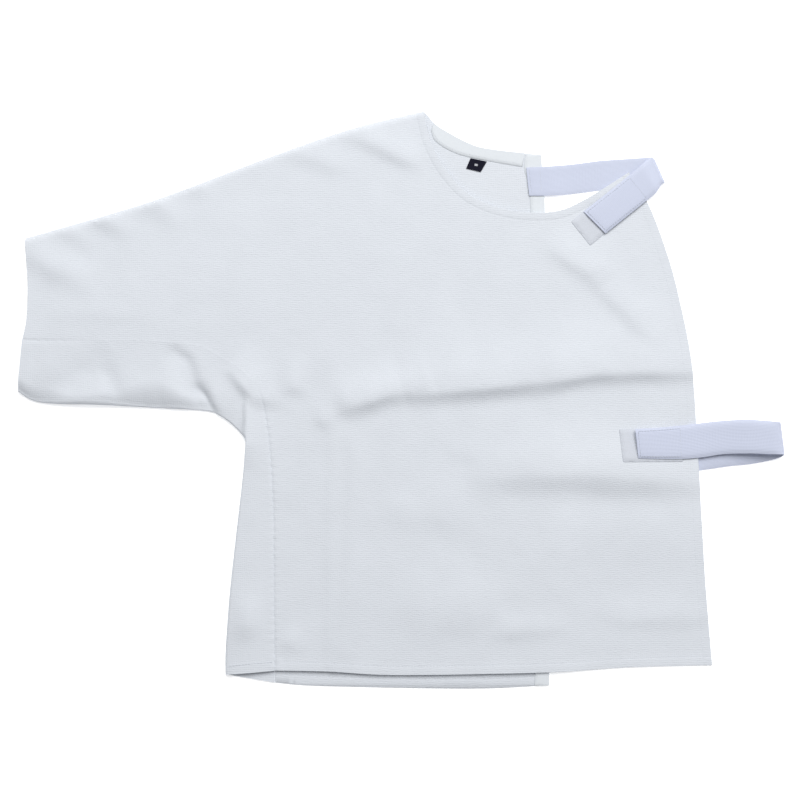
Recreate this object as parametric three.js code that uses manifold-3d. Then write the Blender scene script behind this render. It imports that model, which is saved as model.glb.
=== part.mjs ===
// A fencing half jacket (underarm protector), laid flat with its front up.
// Millimetres, +Z up, +X towards the strap edge, +Y towards the neck, floor at Z = 0.
import * as THREE from "three";
import { mergeVertices } from "three/addons/utils/BufferGeometryUtils.js";
import Module from "manifold-3d";

const wasm = await Module();
wasm.setup();

// ---- driving sizes ----
const CLOTH = 1.5; // one panel of doubled shell cloth
const TAPE = 1.0; // facings, hook tape and the label
const ELASTIC = 1.2; // straps and loop tape
const GAP = 0.3; // clearance between layers and across seams
const SEAM_LIFT = CLOTH + GAP; // underside of the front along the shoulder seam
const BODY_LIFT = CLOTH + GAP + TAPE + GAP + 0.3; // underside of the front over the back and its facings
const SLEEVE_LIFT = 4.2; // air held in the sleeve, on top of BODY_LIFT
const SHOULDER_ROUND = 9; // distance from the shoulder seam over which the front rises
const SLEEVE_ROUND = 110; // the same, for the air in the sleeve
const STEP_START = 150; // X where the front leaves the back's edge
const STEP_WIDTH = 45; // and the distance over which it sinks to the floor
const STRAP_HALF = 20; // half of a strap's width, with a little room
const STRAP_EASE = 22; // distance over which the front comes down beside a hidden strap
const ROLL_STEPS = 6; // facets round the rolled underarm edge
const CURVE_STEPS = 3; // facets between two points of a curved edge
const PRISM = [-5, 60]; // bottom and height of the prism that cuts the front to its outline

// ---- cut edges, seen from above ----
const neckPoint = [23.5, 288.5];
const cuffTop = [-374.5, 161.5];
const frontTip = [228, 227.5];
const backCorner = [140.5, 245];
const shoulderSeam = [neckPoint, [-48.5, 271], [-132.5, 242], [-216.5, 210], [-272.5, 191], cuffTop];
const cuffEdge = [cuffTop, [-373, 140], [-371.5, 110], [-372.5, 80], [-376.5, 60]];
const frontNeckline = [
  neckPoint, [29.5, 261], [44.5, 231], [70.5, 204], [109.5, 189.5], [152.5, 188], [183.5, 200], frontTip,
];
const frontEdge = [
  frontTip, [247.5, 196], [264.5, 152], [277.5, 106], [291.5, 30], [298, -71], [304.5, -180], [311.5, -265],
];
const frontHem = [[311.5, -265], [229.5, -267], [152.5, -271.7], [0, -274.5], [-71.5, -271], [-125.4, -270]];
const backNeckline = [neckPoint, [28.5, 283], [38.5, 272.8], [70.5, 255.6], [93.5, 250.2], backCorner];
const backEdge = [backCorner, [144.5, 188], [147, 80], [148.6, -40], [149.8, -170], [148.5, -285]];
const backHem = [[148.5, -285], [70.5, -288.5], [-76.5, -286], [-118.5, -283.2], [-125.6, -282.4]];
const neckFacingInner = [[121.9, 232.8], [86.5, 239], [56.5, 246], [35.5, 258], [30.2, 270]];
const edgeFacingInner = [
  [125.2, 246], [123.6, 231], [129.3, 200], [132, 90], [133.5, -40], [134.8, -170], [134, -285.6],
];

// The underarm panel from cuff to hem: its rolled outer edge, its seam with the front, how much the
// roll stands up over the rest and, where it isn't right below, the lower leaf's seam with the back.
const underarmRows = [
  { edge: [-381.5, 8], seam: [-376.5, 60], rise: 1.5 },
  { edge: [-366, -1], seam: [-364, 59.2], rise: 2.4 },
  { edge: [-342.5, -4], seam: [-340.5, 59], rise: 3.6 },
  { edge: [-300.5, -5], seam: [-298, 59], rise: 3.4 },
  { edge: [-244.5, -8], seam: [-250.5, 59], rise: 5.4 },
  { edge: [-206.5, -10], seam: [-221, 56], rise: 5.2 },
  { edge: [-188.5, -12], seam: [-202.5, 54], rise: 3.0 },
  { edge: [-181, -15.5], seam: [-188.5, 48], rise: 2.2 },
  { edge: [-174.5, -19.5], seam: [-176.5, 41], rise: 1.4 },
  { edge: [-166.5, -26], seam: [-162.5, 33], rise: 0.8 },
  { edge: [-158, -35], seam: [-153.5, 25], rise: 0.6 },
  { edge: [-154.6, -41], seam: [-146, 17], rise: 1.8 },
  { edge: [-155.2, -52], seam: [-139.5, 6], rise: 2.0 },
  { edge: [-156.5, -68], seam: [-134.5, -18], rise: 2.0 },
  { edge: [-159.5, -95], seam: [-130, -55], rise: 1.9 },
  { edge: [-164.5, -138], seam: [-127, -110], rise: 1.8 },
  { edge: [-170.5, -194], seam: [-126.4, -180], rise: 1.7 },
  { edge: [-174.5, -250], seam: [-125.8, -245], rise: 1.5 },
  { edge: [-174.5, -274], seam: [-125.5, -270], rise: 1.2, lowerSeam: [-125.5, -282.4] },
];

// Folds of the upper leaf. `line` is the crest as [x, y, height]; the fold dies away over `left` and
// `right` to the sides of the line's direction. A negative height is a trough.
const folds = [
  { name: "waist_ridge_near_side", left: 24, right: 10.5,
    line: [[-75, -13, 0], [-63, -9, 1.5], [-51, -5, 4.8], [-30, 1, 6.6], [-10, 7, 5.8], [10, 11, 3.8],
      [34, 17, 0]] },
  { name: "waist_ridge_across", left: 42, right: 10.5,
    line: [[4, 3, 0], [28, 8, 5.3], [60, 11.5, 7.2], [100, 15.5, 7.4], [150, 20.5, 6.2],
      [185, 25, 2.9], [215, 28, 0]] },
  { name: "waist_ridge_far_side", left: 40, right: 9.5,
    line: [[140, 21, 0], [175, 25, 3.3], [205, 28, 6.1], [250, 29, 5.8], [282, 29, 3.3], [305, 30, 1.6]] },
  { name: "swell_over_strap", left: 38, right: 17,
    line: [[64, -76, 0], [100, -74, 3.2], [140, -72, 5.4], [200, -73, 7.8], [240, -75, 7],
      [280, -78, 4.2], [305, -80, 2.2]] },
  { name: "packing_crease_left", left: 14, right: 6,
    line: [[-70, 60, 0], [-69, 0, 0.3], [-68, -60, 0.6], [-69, -140, 0.7], [-70, -262, 0.5]] },
  { name: "packing_crease_right", left: 14, right: 7,
    line: [[-50, -20, 0], [-47, -50, 0.8], [-48, -120, 0.7], [-52, -200, 1], [-58, -250, 0.5],
      [-62, -266, 0]] },
  { name: "chest_crease", left: 22, right: 9,
    line: [[143, 157, 0], [166, 143, 2.9], [190, 127, 3.4], [201, 113, 1.6], [215, 97, 2.7],
      [234, 80, 2.7], [266, 53, 0]] },
  { name: "shoulder_crease", left: 10, right: 8,
    line: [[-66, 268, 0], [-34, 259, 3.3], [3, 241, 3.3], [26, 233, 0]] },
  { name: "underarm_crease", left: 7, right: 15,
    line: [[-238, 50, 0], [-226, 46, -2.4], [-214, 38, -3], [-208, 24, -3.4], [-204, 10, -5],
      [-199, -3, -6.4], [-194, -16, -6.4]] },
  { name: "armpit_flap", left: 22, right: 7.5,
    line: [[-174, 34, 0], [-165, 27, 2.4], [-154, 14, 4.2], [-146, 3, 3.9], [-149, -7, 0]] },
  { name: "armpit_tuck", left: 15, right: 2.2,
    line: [[-152, 4, 0], [-154, -6, 2.8], [-154.4, -44, 3.2], [-156, -70, 0]] },
];

// How far the upper leaf sinks towards the underarm panel's rolled edge: [x, drop, reach].
const rollDrops = [[-382, 6.4, 15], [-350, 7.2, 16], [-322, 5, 10], [-300, 6, 12], [-280, 9, 19],
  [-255, 12, 27], [-238, 12.4, 29], [-222, 10.4, 22], [-205, 6.6, 14], [-190, 3.6, 12],
  [-176, 3.4, 30], [-162, 2.6, 34], [-156, 1, 20], [-150, 0.6, 12]];

// Straps, as pairs of points across the elastic from the sewn end to the loose end. `lift` is the
// height of the elastic's middle over the floor or over the front, and `turn` tips it round its fold.
const neckStrapRows = [
  { near: [125.5, 232], far: [128.6, 203.8], on: "floor", lift: 3.7, turn: 0 },
  { near: [145.5, 233], far: [147.5, 204], on: "floor", lift: 3.7, turn: 0 },
  { near: [172, 235.5], far: [172, 206], on: "floor", lift: 0.6, turn: 0 },
  { near: [199.5, 239], far: [199.5, 209.5], on: "floor", lift: 0.6, turn: 0 },
  { near: [228, 241], far: [232, 212.5], on: "floor", lift: 0.6, turn: 0 },
  { near: [249, 242.5], far: [261, 216.5], on: "floor", lift: 0.65, turn: 0 },
  { near: [251.2, 242.3], far: [263.2, 216.6], on: "floor", lift: 1.0, turn: 35 },
  { near: [252.4, 242], far: [264, 216.6], on: "floor", lift: 2.2, turn: 90 },
  { near: [251.2, 242.3], far: [263.2, 216.6], on: "floor", lift: 3.4, turn: 145 },
  { near: [249, 242], far: [261, 215.6], on: "floor", lift: 3.8, turn: 180 },
  { near: [238, 232.5], far: [254.5, 206.5], on: "front", lift: 3.2, turn: 180 },
  { near: [223, 220], far: [243.2, 197], on: "front", lift: 3.8, turn: 180 },
  { near: [203, 204], far: [224.5, 182], on: "front", lift: 3.8, turn: 180 },
  { near: [182.5, 188], far: [204.5, 166], on: "front", lift: 3.8, turn: 180 },
];
const waistStrapRows = [
  { near: [134, -60], far: [136.5, -90], on: "floor", lift: 3.7, turn: 0 },
  { near: [152, -58], far: [154, -88], on: "floor", lift: 3.7, turn: 0 },
  { near: [182, -55], far: [184.5, -85], on: "floor", lift: 0.6, turn: 0 },
  { near: [240, -47.5], far: [243, -77.5], on: "floor", lift: 0.6, turn: 0 },
  { near: [297, -40.5], far: [298.5, -70.5], on: "floor", lift: 0.6, turn: 0 },
  { near: [329, -36], far: [330, -66], on: "floor", lift: 0.6, turn: 0 },
  { near: [349, -31.5], far: [350, -64], on: "floor", lift: 0.7, turn: 0 },
  { near: [367, -26], far: [371, -60], on: "floor", lift: 1.4, turn: 15 },
  { near: [375.5, -23], far: [380.5, -56.5], on: "floor", lift: 4.2, turn: 50 },
  { near: [378, -22], far: [382, -54.5], on: "floor", lift: 8.2, turn: 90 },
  { near: [375, -21.8], far: [380, -54], on: "floor", lift: 12, turn: 140 },
  { near: [366, -20.8], far: [370, -54], on: "floor", lift: 13.4, turn: 172 },
  { near: [345, -19.5], far: [347, -53.2], on: "floor", lift: 12.2, turn: 184 },
  { near: [322, -20.6], far: [322, -54], on: "floor", lift: 8.8, turn: 186 },
  { near: [299.5, -23], far: [300, -57.3], on: "front", lift: 3.6, turn: 182 },
  { near: [280, -25.3], far: [281, -58.8], on: "front", lift: 3.8, turn: 180 },
  { near: [257, -27.5], far: [259, -58.8], on: "front", lift: 3.8, turn: 180 },
  { near: [233.5, -28.8], far: [236.5, -58.2], on: "front", lift: 3.8, turn: 180 },
];

// Tape pieces on the front, by their corners, from the loose end of the strap back under it.
const neckPatchCorners = [[170, 178], [189.5, 154], [236.5, 193.5], [217, 217]];
const neckTabCorners = [[184.5, 187.2], [204, 167.7], [239, 197], [220.5, 217.5]];
const waistPatchCorners = [[218, -28.8], [221.5, -61.8], [282, -61.5], [280, -27]];
const waistTabCorners = [[235, -29.8], [238, -57.4], [282, -57], [281, -26.8]];
const labelCorners = [[65.5, 231.2], [80.2, 227.8], [86.3, 238.2], [70, 241.6]];

// Where the front passes over a strap: the strap's middle line, and how high its top is there.
const hiddenStraps = [
  { middle: [[190, 222.5], [229, 226.5], [257, 229.5]], top: [1.2, 1.2, 1.2] },
  { middle: [[135, -75], [153, -73], [184, -70], [298, -55.5], [350, -48]], top: [4.3, 4.3, 1.2, 1.2, 1.2] },
];

// ---- small geometry helpers ----
const clamp01 = (value) => Math.min(1, Math.max(0, value));

function smooth(value) {
  const t = clamp01(value);
  return t * t * (3 - 2 * t);
}

function mix(from, to, share) {
  return from.map((value, i) => value + (to[i] - value) * share);
}

/** Points along a smooth curve through the given ones. */
function curved(points, steps = CURVE_STEPS) {
  const curve = new THREE.SplineCurve(points.map(([x, y]) => new THREE.Vector2(x, y)));
  return curve.getPoints(steps * (points.length - 1)).map((point) => [point.x, point.y]);
}

/** The nearest place on a path: its distance, its side (left is positive), its segment and the share
    of the way along that segment. */
function nearestOn(path, x, y) {
  let best = { distance: Infinity };
  for (let i = 0; i + 1 < path.length; i++) {
    const [ax, ay] = path[i];
    const dx = path[i + 1][0] - ax;
    const dy = path[i + 1][1] - ay;
    const share = clamp01(((x - ax) * dx + (y - ay) * dy) / (dx * dx + dy * dy));
    const distance = Math.hypot(x - ax - share * dx, y - ay - share * dy);
    if (distance < best.distance) {
      best = { distance, side: Math.sign(dx * (y - ay) - dy * (x - ax)), segment: i, share };
    }
  }
  return best;
}

/** A value given at each point of a path, at the place that nearestOn found. */
function valueAt(values, near) {
  return values[near.segment] + (values[near.segment + 1] - values[near.segment]) * near.share;
}

function foldHeight({ line, left, right }, x, y) {
  const near = nearestOn(line, x, y);
  const reach = near.side > 0 ? left : right;
  return valueAt(line.map((point) => point[2]), near) * Math.exp(-((near.distance / reach) ** 2));
}

/** Room that the front leaves over a strap hidden below it. */
function strapRoom(strap, x, y) {
  const near = nearestOn(strap.middle, x, y);
  const top = valueAt(strap.top, near) + GAP + 0.1;
  return top * (1 - smooth((near.distance - STRAP_HALF) / STRAP_EASE));
}

const shoulderLine = curved(shoulderSeam);

/** Height of the underside of the upper leaf, front and underarm panel alike. */
function underside(x, y) {
  const fromShoulder = nearestOn(shoulderLine, x, y).distance;
  const overBack = 1 - smooth((x - STEP_START) / STEP_WIDTH);
  const rising = SEAM_LIFT + (BODY_LIFT - SEAM_LIFT) * smooth(fromShoulder / SHOULDER_ROUND);
  const inSleeve = smooth((-110 - x) / 130) * smooth(fromShoulder / SLEEVE_ROUND);
  const folded = folds.reduce((sum, fold) => sum + foldHeight(fold, x, y), 0);
  const seamEase = smooth(fromShoulder / SHOULDER_ROUND);
  const lying = rising * overBack + SLEEVE_LIFT * inSleeve + folded * seamEase;
  return Math.max(lying, ...hiddenStraps.map((strap) => strapRoom(strap, x, y)));
}

/** Grid lines from low to high, with a closer spacing inside each of the bands. */
function gridLines(low, high, spacing, bands) {
  const lines = [low];
  while (lines.at(-1) < high) {
    const at = lines.at(-1);
    const band = bands.find(({ from, to }) => at >= from && at < to);
    lines.push(at + (band ? band.spacing : spacing));
  }
  return lines;
}

const frontX = gridLines(-390, 320, 22, [
  { from: -82, to: -38, spacing: 11 },
  { from: 138, to: 280, spacing: 14 },
]);
const frontY = gridLines(-282, 296, 19, [
  { from: -110, to: -26, spacing: 9 },
  { from: -26, to: 42, spacing: 5.5 },
  { from: 196, to: 250, spacing: 10 },
]);

/** The cell of a list of grid lines that holds a value, and the share of the way across it. */
function cellOf(lines, value) {
  const index = Math.max(0, lines.findIndex((line) => line > value) - 1);
  return [index, (value - lines[index]) / (lines[index + 1] - lines[index])];
}

/** Height of the underside of the front as built, between its grid's corners. */
function facetHeight(x, y) {
  const [i, u] = cellOf(frontX, x);
  const [j, v] = cellOf(frontY, y);
  const corner = (di, dj) => underside(frontX[i + di], frontY[j + dj]);
  const [low, high] = [corner(0, 0), corner(1, 1)];
  return u > v
    ? low + (corner(1, 0) - low) * u + (high - corner(1, 0)) * v
    : low + (corner(0, 1) - low) * v + (high - corner(0, 1)) * u;
}

// ---- solids ----
/** A closed indexed geometry with its faces turned outwards. */
function closedGeometry(positions, triangles) {
  let volume = 0;
  for (const [a, b, c] of triangles) {
    const [p, q, r] = [positions[a], positions[b], positions[c]];
    volume += p[0] * (q[1] * r[2] - q[2] * r[1]);
    volume += p[1] * (q[2] * r[0] - q[0] * r[2]);
    volume += p[2] * (q[0] * r[1] - q[1] * r[0]);
  }
  const turned = volume < 0 ? triangles.map(([a, b, c]) => [a, c, b]) : triangles;
  const geometry = new THREE.BufferGeometry();
  geometry.setAttribute("position", new THREE.Float32BufferAttribute(positions.flat(), 3));
  geometry.setIndex(turned.flat());
  return geometry;
}

/** A wall of even thickness over a grid of [x, y] places, `at(column, row)`. */
function gridWall(columns, rows, at, bottom, thickness) {
  const positions = [];
  for (const rise of [0, thickness]) {
    for (let j = 0; j < rows; j++) {
      for (let i = 0; i < columns; i++) {
        const [x, y] = at(i, j);
        positions.push([x, y, bottom(x, y) + rise]);
      }
    }
  }
  const layer = columns * rows;
  const spot = (i, j) => j * columns + i;
  const triangles = [];
  for (let j = 0; j + 1 < rows; j++) {
    for (let i = 0; i + 1 < columns; i++) {
      const [a, b, c, d] = [spot(i, j), spot(i + 1, j), spot(i + 1, j + 1), spot(i, j + 1)];
      triangles.push([a, c, b], [a, d, c]);
      triangles.push([a + layer, b + layer, c + layer], [a + layer, c + layer, d + layer]);
    }
  }
  const rim = [];
  for (let i = 0; i + 1 < columns; i++) rim.push(spot(i, 0));
  for (let j = 0; j + 1 < rows; j++) rim.push(spot(columns - 1, j));
  for (let i = columns - 1; i > 0; i--) rim.push(spot(i, rows - 1));
  for (let j = rows - 1; j > 0; j--) rim.push(spot(0, j));
  rim.forEach((a, k) => {
    const b = rim[(k + 1) % rim.length];
    triangles.push([a, b, b + layer], [a, b + layer, a + layer]);
  });
  return closedGeometry(positions, triangles);
}

/** A solid through closed sections with the same number of points; `flat` holds the end caps' 2-D form. */
function loft(sections, flat) {
  const count = sections[0].length;
  const positions = sections.flat();
  const triangles = [];
  for (let s = 0; s + 1 < sections.length; s++) {
    for (let k = 0; k < count; k++) {
      const a = s * count + k;
      const b = s * count + ((k + 1) % count);
      triangles.push([a, b, b + count], [a, b + count, a + count]);
    }
  }
  const capOf = (outline) => {
    const flatPoints = outline.map(([u, v]) => new THREE.Vector2(u, v));
    const wound = Math.sign(THREE.ShapeUtils.area(flatPoints));
    return THREE.ShapeUtils.triangulateShape(flatPoints, []).map(([a, b, c]) => {
      const same = Math.sign(THREE.ShapeUtils.area([flatPoints[a], flatPoints[b], flatPoints[c]])) === wound;
      return same ? [a, b, c] : [a, c, b];
    });
  };
  const last = (sections.length - 1) * count;
  capOf(flat[0]).forEach(([a, b, c]) => triangles.push([a, c, b]));
  capOf(flat.at(-1)).forEach(([a, b, c]) => triangles.push([a + last, b + last, c + last]));
  return closedGeometry(positions, triangles);
}

/** A flat plate with the given outline between two heights. */
function plate(outline, bottom, thickness) {
  const shape = new THREE.Shape(outline.map(([x, y]) => new THREE.Vector2(x, y)));
  const geometry = new THREE.ExtrudeGeometry(shape, { depth: thickness, bevelEnabled: false });
  geometry.translate(0, 0, bottom);
  return geometry;
}

function manifoldOf(geometry) {
  const bare = geometry.clone();
  bare.deleteAttribute("normal");
  bare.deleteAttribute("uv");
  const merged = mergeVertices(bare);
  const vertProperties = new Float32Array(merged.attributes.position.array);
  const triVerts = new Uint32Array(merged.index.array);
  return new wasm.Manifold(new wasm.Mesh({ numProp: 3, vertProperties, triVerts }));
}

function geometryOf(solid) {
  const mesh = solid.getMesh();
  const geometry = new THREE.BufferGeometry();
  geometry.setAttribute("position", new THREE.BufferAttribute(new Float32Array(mesh.vertProperties), 3));
  geometry.setIndex(new THREE.BufferAttribute(new Uint32Array(mesh.triVerts), 1));
  return geometry;
}

/** A path moved sideways, to the left of its direction. */
function movedLeft(path, shift) {
  return path.map(([x, y], i) => {
    const before = path[Math.max(0, i - 1)];
    const after = path[Math.min(i + 1, path.length - 1)];
    const length = Math.hypot(after[0] - before[0], after[1] - before[1]);
    return [x - ((after[1] - before[1]) / length) * shift, y + ((after[0] - before[0]) / length) * shift];
  });
}

// The underarm panel's seams lie with the front and the back panel to the left of their direction.
const upperSeam = underarmRows.map((row) => row.seam);
const lowerSeam = underarmRows.map((row) => row.lowerSeam ?? row.seam);

// ---- the pieces ----
function frontPanel() {
  const sheet = gridWall(frontX.length, frontY.length, (i, j) => [frontX[i], frontY[j]], underside, CLOTH);
  const outline = [
    ...curved(frontNeckline).slice(0, -1),
    ...curved(frontEdge).slice(0, -1),
    ...curved(frontHem, 2).slice(0, -1),
    ...movedLeft(upperSeam, GAP / 2).reverse(),
    ...curved(cuffEdge, 2).reverse().slice(1, -1),
    ...curved(shoulderSeam).reverse().slice(0, -1),
  ];
  const prism = plate(outline, ...PRISM);
  return geometryOf(manifoldOf(sheet).intersect(manifoldOf(prism)));
}

function backPanel() {
  const outline = [
    ...curved(backNeckline).slice(0, -1),
    ...curved(backEdge, 2).slice(0, -1),
    ...curved(backHem, 2).slice(0, -1),
    ...movedLeft(lowerSeam, GAP / 2).reverse(),
    ...curved(cuffEdge, 2).reverse().slice(1, -1),
    ...curved(shoulderSeam).reverse().slice(0, -1),
  ];
  return plate(outline, 0, CLOTH);
}

/** The drop and reach of the roll at a place along the panel. */
function rollDropAt(x) {
  const next = rollDrops.findIndex(([at]) => at > x);
  if (next === 0) return rollDrops[0].slice(1);
  const [before, after] = [rollDrops[next - 1], rollDrops[next]];
  return mix(before, after, (x - before[0]) / (after[0] - before[0])).slice(1);
}

/** One section of the underarm panel: lower leaf, rolled edge and upper leaf, outside then inside. */
function underarmSection(row, seam, seamBelow) {
  const span = Math.hypot(seam[0] - row.edge[0], seam[1] - row.edge[1]);
  const place = (distance) => mix(row.edge, seam, distance / span);
  const placeBelow = (distance) => mix(row.edge, seamBelow, distance / span);
  const [drop, reach] = rollDropAt(row.edge[0]);
  const upper = (distance) => {
    const risen = underside(...place(distance)) + row.rise * (1 - distance / span) ** 2;
    return Math.max(risen - drop * clamp01(1 - distance / reach) ** 2, SEAM_LIFT);
  };
  let radius = 4;
  for (let pass = 0; pass < 4; pass++) radius = (upper(radius) + CLOTH) / 2;
  const shares = [0.07, 0.16, 0.27, 0.4, 0.55, 0.7, 0.85, 1];
  const leaf = shares.map((share) => radius + (span - radius) * share);
  const arc = (size) =>
    Array.from({ length: ROLL_STEPS + 1 }, (_, k) => {
      const angle = (Math.PI * k) / ROLL_STEPS;
      return [radius - size * Math.sin(angle), radius - size * Math.cos(angle)];
    });
  const outside = [[span, 0], ...arc(radius), ...leaf.map((d) => [d, upper(d) + CLOTH])];
  const inside = [[span, CLOTH], ...arc(radius - CLOTH), ...leaf.map((d) => [d, upper(d)])];
  const flat = [...outside, ...inside.reverse()];
  return { flat, points: flat.map(([d, z]) => [...(z > CLOTH ? place(d) : placeBelow(d)), z]) };
}

function underarmPanel() {
  const above = movedLeft(upperSeam, -GAP / 2);
  const below = movedLeft(lowerSeam, -GAP / 2);
  const sections = underarmRows.map((row, i) => underarmSection(row, above[i], below[i]));
  return loft(sections.map((s) => s.points), sections.map((s) => s.flat));
}

/** A strap through its rows; each section is a thin rectangle tipped by the row's turn. */
function strap(rows) {
  const sections = rows.map(({ near, far, on, lift, turn }) => {
    const width = Math.hypot(far[0] - near[0], far[1] - near[1]);
    const onward = [-(far[1] - near[1]) / width, (far[0] - near[0]) / width];
    const angle = THREE.MathUtils.degToRad(turn);
    const tip = [Math.sin(angle) * onward[0], Math.sin(angle) * onward[1], Math.cos(angle)];
    const height = ([x, y]) => lift + (on === "front" ? facetHeight(x, y) + CLOTH : 0);
    const level = Math.max(height(near), height(far), height(mix(near, far, 0.5)));
    const corner = ([x, y], side) => [
      x + (tip[0] * side * ELASTIC) / 2,
      y + (tip[1] * side * ELASTIC) / 2,
      level + (tip[2] * side * ELASTIC) / 2,
    ];
    return [corner(near, 1), corner(near, -1), corner(far, -1), corner(far, 1)];
  });
  const cap = [[0, 1], [0, 0], [1, 0], [1, 1]];
  return loft(sections, sections.map(() => cap));
}

/** A piece of tape on the front, made from the front's points moved out. */
function tapeOnFront(corners, lift, thickness) {
  const [columns, rows] = [12, 7];
  const at = (i, j) => {
    const along = i / (columns - 1);
    const across = j / (rows - 1);
    return mix(mix(corners[0], corners[3], along), mix(corners[1], corners[2], along), across);
  };
  return gridWall(columns, rows, at, (x, y) => facetHeight(x, y) + CLOTH + lift, thickness);
}

function backNeckFacing() {
  const outer = curved(backNeckline, 4).filter(([x, y]) => y < 277 && x < 125);
  return plate([...outer, [124.1, 246.2], ...curved(neckFacingInner)], CLOTH + GAP, TAPE);
}

function backEdgeFacing() {
  const outer = curved(backEdge, 2);
  return plate([...outer, ...curved(edgeFacingInner, 2).reverse()], CLOTH + GAP, TAPE);
}

// ---- colours and the scene graph ----
const finishes = {
  shell: new THREE.MeshStandardMaterial({ color: 0xe2e6eb, roughness: 0.9, metalness: 0 }),
  facing: new THREE.MeshStandardMaterial({ color: 0xe3e7ea, roughness: 0.9, metalness: 0 }),
  elastic: new THREE.MeshStandardMaterial({ color: 0xd5dbeb, roughness: 0.85, metalness: 0 }),
  tape: new THREE.MeshStandardMaterial({ color: 0xdde2e8, roughness: 0.95, metalness: 0 }),
  label: new THREE.MeshStandardMaterial({ color: 0x1e202a, roughness: 0.7, metalness: 0 }),
};

const pieces = [
  { name: "front_panel", finish: "shell", geometry: frontPanel() },
  { name: "back_panel", finish: "shell", geometry: backPanel() },
  { name: "underarm_panel", finish: "shell", geometry: underarmPanel() },
  { name: "back_neck_facing", finish: "facing", geometry: backNeckFacing() },
  { name: "back_edge_facing", finish: "facing", geometry: backEdgeFacing() },
  { name: "size_label", finish: "label", geometry: plate(labelCorners, CLOTH + GAP, TAPE * 0.8) },
  { name: "neck_strap", finish: "elastic", geometry: strap(neckStrapRows) },
  { name: "neck_loop_patch", finish: "tape", geometry: tapeOnFront(neckPatchCorners, GAP, ELASTIC) },
  { name: "neck_hook_tab", finish: "tape", geometry: tapeOnFront(neckTabCorners, 2 * GAP + ELASTIC, TAPE) },
  { name: "waist_strap", finish: "elastic", geometry: strap(waistStrapRows) },
  { name: "waist_loop_patch", finish: "tape", geometry: tapeOnFront(waistPatchCorners, GAP, ELASTIC) },
  { name: "waist_hook_tab", finish: "tape", geometry: tapeOnFront(waistTabCorners, 2 * GAP + ELASTIC, TAPE) },
];

const halfJacket = new THREE.Group();
for (const { name, finish, geometry } of pieces) {
  geometry.computeVertexNormals();
  const mesh = new THREE.Mesh(geometry, finishes[finish]);
  mesh.name = name;
  halfJacket.add(mesh);
}

export default halfJacket;
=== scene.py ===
"""A white fencing half jacket (underarm protector), laid flat with its front up.

Tables and outlines are in millimetres from the middle of the laid-out garment, +X towards the straps,
+Y towards the neck, and up from the surface that it lies on. Meshes are in metres.
"""
import math

import bpy
import numpy as np
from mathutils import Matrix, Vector, noise
from mathutils.geometry import delaunay_2d_cdt


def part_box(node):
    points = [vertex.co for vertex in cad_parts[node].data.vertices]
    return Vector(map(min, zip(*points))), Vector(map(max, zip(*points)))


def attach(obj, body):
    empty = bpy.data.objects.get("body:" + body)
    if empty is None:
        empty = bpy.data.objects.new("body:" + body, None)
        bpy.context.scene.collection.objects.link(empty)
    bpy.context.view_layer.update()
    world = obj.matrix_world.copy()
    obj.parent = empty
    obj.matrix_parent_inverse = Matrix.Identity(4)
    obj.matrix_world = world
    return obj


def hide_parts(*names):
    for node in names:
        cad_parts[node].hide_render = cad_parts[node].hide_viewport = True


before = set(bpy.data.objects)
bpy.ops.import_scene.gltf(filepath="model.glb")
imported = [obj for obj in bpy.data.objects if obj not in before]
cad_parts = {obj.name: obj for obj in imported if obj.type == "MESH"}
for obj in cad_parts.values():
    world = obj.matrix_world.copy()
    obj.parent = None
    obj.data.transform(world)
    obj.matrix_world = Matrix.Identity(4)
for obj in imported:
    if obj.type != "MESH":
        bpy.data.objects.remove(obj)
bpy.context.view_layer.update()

MM = 0.001


def level(node, end):
    """Lowest (0) or highest (1) point of a node, in millimetres."""
    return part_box(node)[end].z / MM


def table(columns, rows):
    """Rows as dictionaries, by the names of their columns; a row may leave out its last ones."""
    return [dict(zip(columns.split(), row)) for row in rows]


# ---- sizes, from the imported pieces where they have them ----
CLOTH = level("back_panel", 1) - level("back_panel", 0)
GAP = level("back_neck_facing", 0) - CLOTH
TAPE = level("back_neck_facing", 1) - level("back_neck_facing", 0)
ELASTIC = 1.2
SEAM_LIFT = CLOTH + GAP
BODY_LIFT = CLOTH + GAP + TAPE + GAP + 0.3
SLEEVE_LIFT = 4.2
SHOULDER_ROUND = 3.5
SLEEVE_ROUND = 110
STEP_START = 150
STEP_WIDTH = 45
STRAP_HALF = 20
STRAP_EASE = 22
STRAP_STEP = 1.6
TOUCH = 0.03
PATCH = ELASTIC + GAP / 2
PATCH_TOP = PATCH + 2 * TOUCH
TAB = 0.85
LABEL_THICKNESS = 0.7

# ---- cut edges, seen from above ----
NECK_POINT = (23.5, 288.5)
CUFF_TOP = (-374.5, 161.5)
FRONT_TIP = (228, 227.5)
BACK_CORNER = (140.5, 245)
SHOULDER_SEAM = [NECK_POINT, (-48.5, 271), (-132.5, 242), (-216.5, 210), (-272.5, 191), CUFF_TOP]
CUFF_EDGE = [CUFF_TOP, (-373, 140), (-371.5, 110), (-372.5, 80), (-376.5, 60)]
FRONT_NECKLINE = [NECK_POINT, (29.5, 261), (44.5, 231), (70.5, 204), (109.5, 189.5), (152.5, 188),
                  (183.5, 200), FRONT_TIP]
FRONT_EDGE = [FRONT_TIP, (247.5, 196), (264.5, 152), (277.5, 106), (291.5, 30), (298, -71),
              (304.5, -180), (311.5, -265)]
FRONT_HEM = [(311.5, -265), (229.5, -267), (152.5, -271.7), (0, -274.5), (-71.5, -271), (-125.4, -270)]
BACK_NECKLINE = [NECK_POINT, (28.5, 283), (38.5, 272.8), (70.5, 255.6), (93.5, 250.2), BACK_CORNER]
BACK_EDGE = [BACK_CORNER, (144.5, 188), (147, 80), (148.6, -40), (149.8, -170), (148.5, -285)]
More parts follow.
